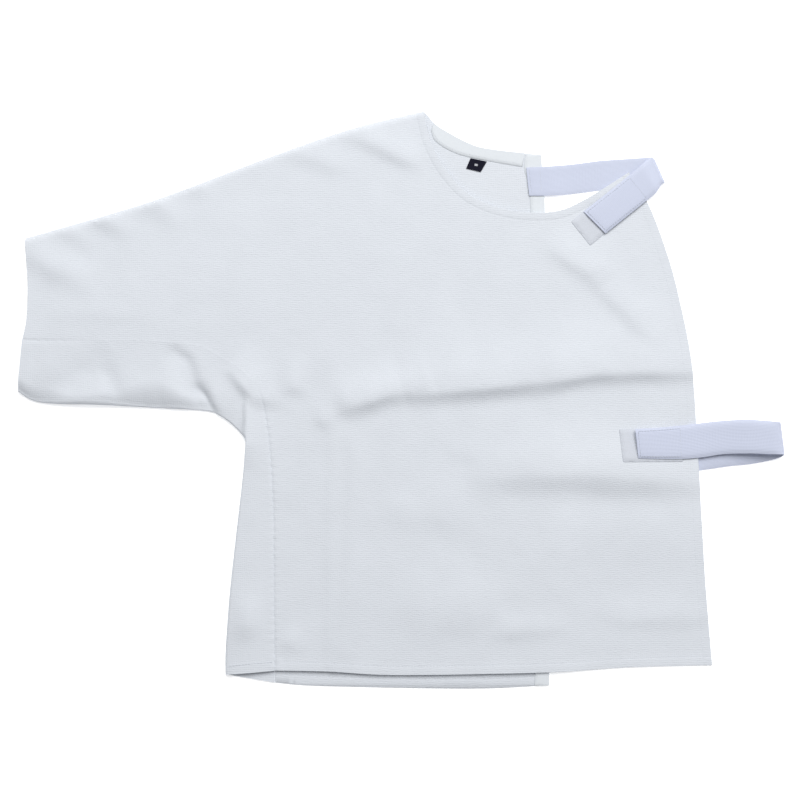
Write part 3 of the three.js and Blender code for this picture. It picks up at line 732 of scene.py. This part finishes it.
SIDE_SEAM = sewn_edge(seam_with_front, 0.0, rise=0.0, sink=SEAM_SINK, reach=1.4)
FRONT_SEWING = [
    sewn_edge(neckline, NECK_HEM, rise=0.3, sink=0.42),
    sewn_edge(free_edge, EDGE_HEM, rise=0.1, sink=0.12),
    sewn_edge(front_hem, FRONT_HEM_IN, rise=0.3, sink=0.3),
    SIDE_SEAM,
    sewn_edge(cuff_edge, CUFF_HEM, rise=0.12, sink=0.06),
]
BACK_SEWING = [sewn_edge(back_hem, BACK_HEM_IN, rise=0.3)]
UNDERARM_SEWING = [
    SIDE_SEAM,
    sewn_edge(np.array([UNDERARM_ROWS[-1]["edge"], UNDERARM_ROWS[-1]["seam"]], float), FRONT_HEM_IN,
              rise=0.3, sink=0.3),
    sewn_edge(np.array([UNDERARM_ROWS[0]["edge"], UNDERARM_ROWS[0]["seam"]], float), CUFF_HEM,
              rise=0.12, sink=0.06),
]


def front_top(places):
    return underside(places) + CLOTH + relief(FRONT_SEWING, places)


def joined(*lines):
    """One closed outline from lines that meet end to end."""
    return np.vstack([line[:-1] for line in lines])


def guide_lines(path, offsets, side=1):
    return [moved_left(path, side * offset) for offset in offsets]


def make_front():
    outline = joined(neckline, free_edge, front_hem, moved_left(seam_with_front, SEAM_CLOSE)[::-1],
                     cuff_edge[::-1], shoulder_edge[::-1])
    at_seam = nearest_on(seam_with_front, outline)["distance"] < 1
    fine = (-1.5, -0.7, 0, 0.7, 1.5)
    guides = []
    for edge in FRONT_SEWING[:3]:
        offsets = [edge["width"] + step for step in fine]
        guides += guide_lines(edge["path"], offsets, edge_side(edge))
    guides += guide_lines(seam_with_front, (0.9, 1.8, 3.0))
    for fold in FOLDS:
        if fold["name"] in ("waist_ridge_near_side", "waist_ridge_across"):
            guides += guide_lines(curved(fold["line"])[:, :2], (-1.5, -4, -6.5, -9))
    piece = laid_cloth("front_panel_cloth", outline, underside, front_top, SHELL, 3.7,
                       guides, np.where(at_seam, 0.02, 0.4))
    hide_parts("front_panel")


def edge_side(edge):
    """Which side of a sewn edge the panel lies on: 1 for the left of the line's direction."""
    halfway = len(edge["path"]) // 2
    left, right = (moved_left(edge["path"], shift)[halfway] for shift in (edge["width"], -edge["width"]))
    return 1 if np.hypot(*left) < np.hypot(*right) else -1


def back_bottom(places):
    return np.zeros(len(places))


def back_top(places):
    from_hem = nearest_on(back_hem, places)["distance"]
    return CLOTH + relief(BACK_SEWING, places) * 0.8 - 0.9 * np.clip(1 - from_hem / BACK_HEM_IN, 0, 1)


def make_back():
    outline = joined(back_neckline, back_edge, back_hem, moved_left(seam_with_back, GAP / 2)[::-1],
                     cuff_edge[::-1], shoulder_edge[::-1])
    guides = guide_lines(back_hem, (8.8, 9.6, 10.4), edge_side(BACK_SEWING[0]))
    piece = laid_cloth("back_panel_cloth", outline, back_bottom, back_top, SHELL, 6,
                       guides)
    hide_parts("back_panel")


def underarm_sections():
    """Closed sections of the underarm panel: outside from the lower seam round to the upper one, then
    back along the inside."""
    upper_rows = np.array([[*row["edge"], *row["seam"], row["rise"]] for row in UNDERARM_ROWS])
    below = upper_rows[:, 2:4].copy()
    below[-1] = LOWER_SEAM_END
    rows = curved(np.column_stack([upper_rows, below]), 2.2)
    seams = moved_left(rows[:, 2:4], -SEAM_CLOSE)
    seams_below = moved_left(rows[:, 5:7], -GAP / 2)
    shares = np.linspace(0, 1, 25)[1:]
    arc = np.linspace(0, math.pi, 13)
    at, drops, reaches = zip(*ROLL_DROPS)
    sections = []
    for row, seam, seam_below in zip(rows, seams, seams_below):
        edge, rise = row[:2], row[4]
        span = np.hypot(*(seam - edge))
        drop, reach = np.interp(edge[0], at, drops), np.interp(edge[0], at, reaches)

        def upper(distances):
            places = edge + np.outer(distances / span, seam - edge)
            ease = relief(UNDERARM_SEWING, places)
            sunk = drop * np.clip(1 - distances / reach, 0, 1) ** 2
            return np.maximum(underside(places) + rise * (1 - distances / span) ** 2 - sunk, 1.6), ease

        radius = 4.0
        for _ in range(4):
            radius = float(upper(np.array([radius]))[0][0] + CLOTH) / 2
        leaf = radius + (span - radius) * shares
        under, ease = upper(leaf)
        inner = radius - CLOTH
        outside = [(span, 0.0), *[(span - (span - radius) * t, 0.0) for t in (0.3, 0.6, 0.85)]]
        outside += [(radius - radius * math.sin(a), radius - radius * math.cos(a)) for a in arc]
        outside += list(zip(leaf, under + CLOTH + ease))
        back = [(span, CLOTH), (span - (span - radius) * 0.5, CLOTH)]
        back += [(radius - inner * math.sin(a), radius - inner * math.cos(a)) for a in arc[::2]]
        back += list(zip(leaf[1::2], under[1::2]))
        section = []
        for distance, z in [*outside, *back[::-1]]:
            end = seam if z > CLOTH else seam_below
            section.append((*(edge + (end - edge) * distance / span), z))
        sections.append(section)
    return sections, rows


def make_underarm():
    sections, rows = underarm_sections()
    piece = lofted("underarm_panel_cloth", sections, SHELL)
    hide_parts("underarm_panel")


def flat_piece(name, node, outline, bottom, thickness, material, slot, spacing, sewing=(), curl=0.0):
    """A strip or patch of cloth over an outline. bottom and thickness are numbers or functions."""
    def low(places):
        base = bottom(places) if callable(bottom) else np.full(len(places), bottom)
        from_top = (outline[:, 1].max() - places[:, 1]) / np.ptp(outline[:, 1])
        return base + curl * np.clip(from_top, 0, 1) ** 2

    def high(places):
        thick = thickness(places) if callable(thickness) else thickness
        return low(places) + thick + relief(sewing, places) * 0.5

    piece = laid_cloth(name, outline, low, high, material, spacing, rounding=0.25)
    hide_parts(node)
    return piece


def pressed_down(inner):
    """The bottom and the thickness of a facing whose inner edge is pressed down on the back."""
    def bottom(places):
        return CLOTH + 0.05 + (GAP - 0.05) * smooth(nearest_on(inner, places)["distance"] / FACING_STITCH)

    def thickness(places):
        return 0.4 + (TAPE - 0.4) * smooth(nearest_on(inner, places)["distance"] / FACING_STITCH)

    return bottom, thickness


def make_facings():
    neck_line = back_neckline[(back_neckline[:, 1] < 277) & (back_neckline[:, 0] < 124)]
    for node, outer, inner_line, flat in (
            ("back_neck_facing", [*neck_line, (124.1, 246.2)], NECK_FACING_INNER, (0.108, 0.0145)),
            ("back_edge_facing", back_edge, EDGE_FACING_INNER, (0.018, 0.532))):
        inner = curved(inner_line)
        strip = np.vstack([outer, inner[::-1]])
        sewing = [sewn_edge(inner, FACING_STITCH, rise=0.15, sink=0.3)]
        piece = flat_piece(node + "_cloth", node, strip, *pressed_down(inner), FACING, "facing_cloth",
                           1.6, sewing)


def rounded_corners(corners, radius=1.6, steps=4):
    """An outline with small round corners, and points along its sides."""
    corners = np.array(corners, float)
    found = []
    for i, corner in enumerate(corners):
        to_before = corners[i - 1] - corner
        to_after = corners[(i + 1) % len(corners)] - corner
        a = corner + radius * to_before / np.hypot(*to_before)
        b = corner + radius * to_after / np.hypot(*to_after)
        for t in np.linspace(0, 1, steps):
            found.append((1 - t) ** 2 * a + 2 * t * (1 - t) * corner + t * t * b)
        length = np.hypot(*to_after) - 2 * radius
        count = max(2, round(length / 2.4))
        found += [b + to_after / np.hypot(*to_after) * length * k / count for k in range(1, count)]
    return np.array(found)


def make_tapes():
    for node, corners, lift, thick, pressed, material, slot in (
            ("neck_loop_patch", NECK_PATCH, TOUCH, PATCH, 0.8, LOOPS, "loop_tape"),
            ("waist_loop_patch", WAIST_PATCH, TOUCH, PATCH, 0.8, LOOPS, "loop_tape"),
            ("neck_hook_tab", NECK_TAB, PATCH_TOP, TAB, 0.1, HOOKS, "hook_tape"),
            ("waist_hook_tab", WAIST_TAB, PATCH_TOP, TAB, 0.1, HOOKS, "hook_tape")):
        outline = rounded_corners(corners)
        ring = np.vstack([outline, outline[:1]])
        sewing = [sewn_edge(ring, PATCH_STITCH, rise=0.0, sink=0.4)]

        def thickness(places, ring=ring, thick=thick, pressed=pressed):
            return thick - pressed * (1 - smooth(nearest_on(ring, places)["distance"] / 3.4))

        def bottom(places, lift=lift):
            return front_top(places) + lift

        piece = flat_piece(node + "_tape", node, outline, bottom, thickness, material, slot, 1.6, sewing)


def make_label():
    outline = rounded_corners(LABEL, 0.5)
    piece = flat_piece("size_label_cloth", "size_label", outline, CLOTH + GAP, LABEL_THICKNESS,
                       LABEL_CLOTH, "label_cloth", 1.2, curl=0.5)
    middle = np.mean(LABEL, axis=0)
    along = np.subtract(LABEL[1], LABEL[0])
    along = along / np.hypot(*along)
    across = np.array((-along[1], along[0]))
    height = CLOTH + GAP + LABEL_THICKNESS + 0.28
    ends = []
    for k in range(5):
        spot = middle + across * (k - 2) * 0.42
        ends.append([(*(spot - along * 1.7), height), (*(spot + along * 1.7), height)])
    capsules("label_bar", ends, 0.24, PALE_THREAD)


# ---- straps ----
def strap_stations(rows, spacing=STRAP_STEP):
    """A strap's rows filled in smoothly: near and far edge, height of the middle, and turn."""
    stations = []
    for row in rows:
        near, far = np.array(row["near"], float), np.array(row["far"], float)
        probes = np.array([near, (near + far) / 2, far])
        ground = (underside(probes) + CLOTH).max() if row["on"] == "front" else row.get("tip", 0) / 2
        stations.append([*near, *far, ground + row["lift"], row["turn"], row.get("tip", 0)])
    stations = np.array(stations)
    middle = np.column_stack([(stations[:, :2] + stations[:, 2:4]) / 2, stations[:, 4]])
    steps = np.linalg.norm(np.diff(middle, axis=0), axis=1)
    filled = []
    for i in range(len(stations) - 1):
        a, b = stations[i], stations[i + 1]
        before, after = stations[max(i - 1, 0)], stations[min(i + 2, len(stations) - 1)]
        run = steps[i]
        back = steps[i - 1] if i else run
        ahead = steps[i + 1] if i + 2 < len(stations) else run
        out = (b - before) * run / (run + back) if i else b - a
        into = (after - a) * run / (run + ahead) if i + 2 < len(stations) else b - a
        for column in (4, 5, 6):
            if (a[column] - before[column]) * (b[column] - a[column]) <= 0:
                out[column] = 0
            if (b[column] - a[column]) * (after[column] - b[column]) <= 0:
                into[column] = 0
        turned = abs(b[5] - a[5]) / 12
        count = max(1, round(max(run / spacing, turned)))
        filled += [between(a, b, out, into, t) for t in np.arange(count) / count]
    filled.append(stations[-1])
    return np.array(filled)


def strap_frame(station):
    """The near and far point of a station, and the direction in which its face looks."""
    near, far = station[:2], station[2:4]
    width = np.hypot(*(far - near))
    onward = np.array([-(far - near)[1], (far - near)[0]]) / width
    angle = math.radians(station[5])
    tip = np.array([math.sin(angle) * onward[0], math.sin(angle) * onward[1], math.cos(angle)])
    lean = station[6] / 2
    return np.array([*near, station[4] + lean]), np.array([*far, station[4] - lean]), tip, width


def make_strap(name, node, rows, seed):
    """A strap of elastic with soft selvedges and a slightly uneven lie."""
    stations = strap_stations(rows)
    shares = np.linspace(0, 1, 15)
    sections = []
    for number, station in enumerate(stations):
        near, far, tip, width = strap_frame(station)
        ripple = 0.12 * noise.noise(Vector((number * 0.07, seed, 0.0)))
        upper, lower = [], []
        from_end = min(number, len(stations) - 1 - number) * STRAP_STEP
        pressed = 0.6 + 0.4 * float(smooth(from_end / 6))
        droop = 1.3 * float(smooth((station[5] - 150) / 30))
        for share in shares:
            edge = min(share, 1 - share) * width
            half = ELASTIC / 2 * pressed * math.sqrt(max(0.06, 1 - max(0.0, 1 - edge / 1.3) ** 2))
            wave = 0.05 * math.sin(share * math.pi * 3 + number * 0.05) + ripple
            spot = near + (far - near) * share - (0, 0, droop * abs(2 * share - 1) ** 7)
            spot = spot - (0, 0, (1 - pressed) * ELASTIC / 2)
            upper.append((spot + tip * (half + wave), share * width))
            lower.append((spot - tip * (half - wave), share * width))
        loop = upper + lower[::-1]
        sections.append([point for point, _ in loop])
        across = [place for _, place in loop]
    piece = lofted(name, sections, WEBBING, across)
    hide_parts(node)
    width = float(np.mean([strap_frame(s)[3] for s in stations]))
    return stations


# ---- sewing ----
def stitches_along(path, height_at, proud=0.06, pitch=STITCH_PITCH, length=STITCH_LENGTH, *, seed):
    """Ends of the stitches of one line of sewing."""
    path = np.asarray(path, float)
    run = runs(path)
    draw = np.random.default_rng(seed)
    starts = np.arange(pitch / 2, run[-1] - length, pitch)
    starts = starts + draw.uniform(-0.12, 0.12, len(starts))

    def at(places):
        flat = np.column_stack([np.interp(places, run, path[:, k]) for k in (0, 1)])
        return np.column_stack([flat, height_at(flat) + proud])

    return list(zip(at(starts), at(starts + length)))


def inset(path, width, edge):
    return moved_left(path, width * edge_side(edge))


def strap_line(stations, first, last, face):
    """Ends of stitches on a strap between two places given as (station, share of the width)."""
    line = []
    for t in np.linspace(0, 1, 60):
        index = first[0] + (last[0] - first[0]) * t
        share = first[1] + (last[1] - first[1]) * t
        low = int(min(len(stations) - 2, max(0, math.floor(index))))
        mixed = stations[low] + (stations[low + 1] - stations[low]) * (index - low)
        near, far, tip, _ = strap_frame(mixed)
        line.append(near + (far - near) * share + tip * face * (ELASTIC / 2 + 0.1))
    line = np.array(line)
    run = runs(line)

    def at(place):
        return np.array([np.interp(place, run, line[:, k]) for k in range(3)])

    return [(at(start), at(start + 2)) for start in np.arange(0.4, run[-1] - 2.0, 2.8)]


def make_sewing(neck, waist):
    panel = []
    for number, edge in enumerate(FRONT_SEWING[:3]):
        line = inset(edge["path"], edge["width"], edge)
        keep = slice(2, -5) if number else slice(2, -3)
        panel += stitches_along(line[keep], front_top, (-0.1, -0.06, 0.03)[number], seed=number)
    side_hem = np.array([(-172.0, -264.8), (-127.0, -261.2)])
    panel += stitches_along(side_hem, lambda p: underside(p) + CLOTH + 0.55, seed=7)
    back = inset(back_hem, BACK_HEM_IN, BACK_SEWING[0])
    panel += stitches_along(back[2:-3], back_top, seed=8)
    capsules("panel_stitches", panel, STITCH_THICKNESS / 2, WHITE_THREAD)

    facing = []
    for inner_line, seed in ((NECK_FACING_INNER, 11), (EDGE_FACING_INNER, 12)):
        line = moved_left(curved(inner_line), FACING_STITCH)
        line = line[line[:, 1] > 150]
        facing += stitches_along(line[1:-1], lambda p: np.full(len(p), CLOTH + GAP + TAPE - 0.2),
                                 seed=seed)
    capsules("facing_stitches", facing, STITCH_THICKNESS / 2, WHITE_THREAD)

    tape = []
    for corners, seed in ((NECK_PATCH, 21), (WAIST_PATCH, 22)):
        outline = rounded_corners(corners)
        ring = np.vstack([outline, outline[:1]])
        line = moved_left(ring, PATCH_STITCH)[1:-1]
        tape += stitches_along(line, lambda p: front_top(p) + PATCH - 0.5, 0, seed=seed)
    capsules("patch_stitches", tape, STITCH_THICKNESS / 2, WHITE_THREAD)

    strap = []
    for stations in (neck, waist):
        last = len(stations) - 1
        loose = last - 1.6
        tab_end = last - (34 if stations is neck else 27)
        for first, then, near, far, face in (
                (loose, loose, 0.08, 0.92, -1), (tab_end, tab_end, 0.08, 0.92, -1),
                (loose, tab_end, 0.08, 0.08, -1), (loose, tab_end, 0.92, 0.92, -1),
                (1.6, 1.6, 0.08, 0.92, 1), (8, 8, 0.08, 0.92, 1)):
            strap += strap_line(stations, (first, near), (then, far), face)
    capsules("strap_stitches", strap, STITCH_THICKNESS / 2, WHITE_THREAD)


# ---- floor, light and camera ----
def make_surroundings():
    bpy.ops.mesh.primitive_plane_add(size=60, location=(0, 0, -0.0006))
    floor = bpy.context.object
    floor.name = "floor"
    white = bpy.data.materials.new("floor_white")
    white.use_nodes = True
    shader = white.node_tree.nodes["Principled BSDF"]
    shader.inputs["Base Color"].default_value = (1, 1, 1, 1)
    shader.inputs["Roughness"].default_value = 1
    shader.inputs["Specular IOR Level"].default_value = 0
    shader.inputs["Emission Color"].default_value = (1, 1, 1, 1)
    shader.inputs["Emission Strength"].default_value = 0.4
    floor.data.materials.append(white)

    world = bpy.data.worlds.new("studio")
    bpy.context.scene.world = world
    world.use_nodes = True
    world.node_tree.nodes["Background"].inputs["Color"].default_value = (0.96, 0.97, 1, 1)
    world.node_tree.nodes["Background"].inputs["Strength"].default_value = 0.3

    key = bpy.data.lights.new("key", "AREA")
    key.shape = "RECTANGLE"
    key.size, key.size_y = 2.9, 2.4
    key.energy = 146
    key.color = (1, 0.995, 0.985)
    key_light = bpy.data.objects.new("key", key)
    key_light.location = (0.58, 1.98, 3.12)
    aim = Vector((0, 0.1, 0)) - key_light.location
    key_light.rotation_euler = aim.to_track_quat("-Z", "Y").to_euler()
    bpy.context.scene.collection.objects.link(key_light)

    camera = bpy.data.cameras.new("camera")
    camera.lens = 85
    camera.sensor_width = 36
    eye = bpy.data.objects.new("camera", camera)
    eye.location = (-0.0005, 0, 0.8 * camera.lens / camera.sensor_width)
    bpy.context.scene.collection.objects.link(eye)
    bpy.context.scene.camera = eye
    bpy.context.scene.view_settings.view_transform = "Standard"
    bpy.context.scene.view_settings.look = "None"


bpy.ops.object.select_all(action="DESELECT")
make_back()
make_facings()
make_label()
neck_stations = make_strap("neck_strap_webbing", "neck_strap", NECK_STRAP_ROWS, 1.5)
waist_stations = make_strap("waist_strap_webbing", "waist_strap", WAIST_STRAP_ROWS, 4.5)
make_front()
make_underarm()
make_tapes()
make_sewing(neck_stations, waist_stations)
make_surroundings()
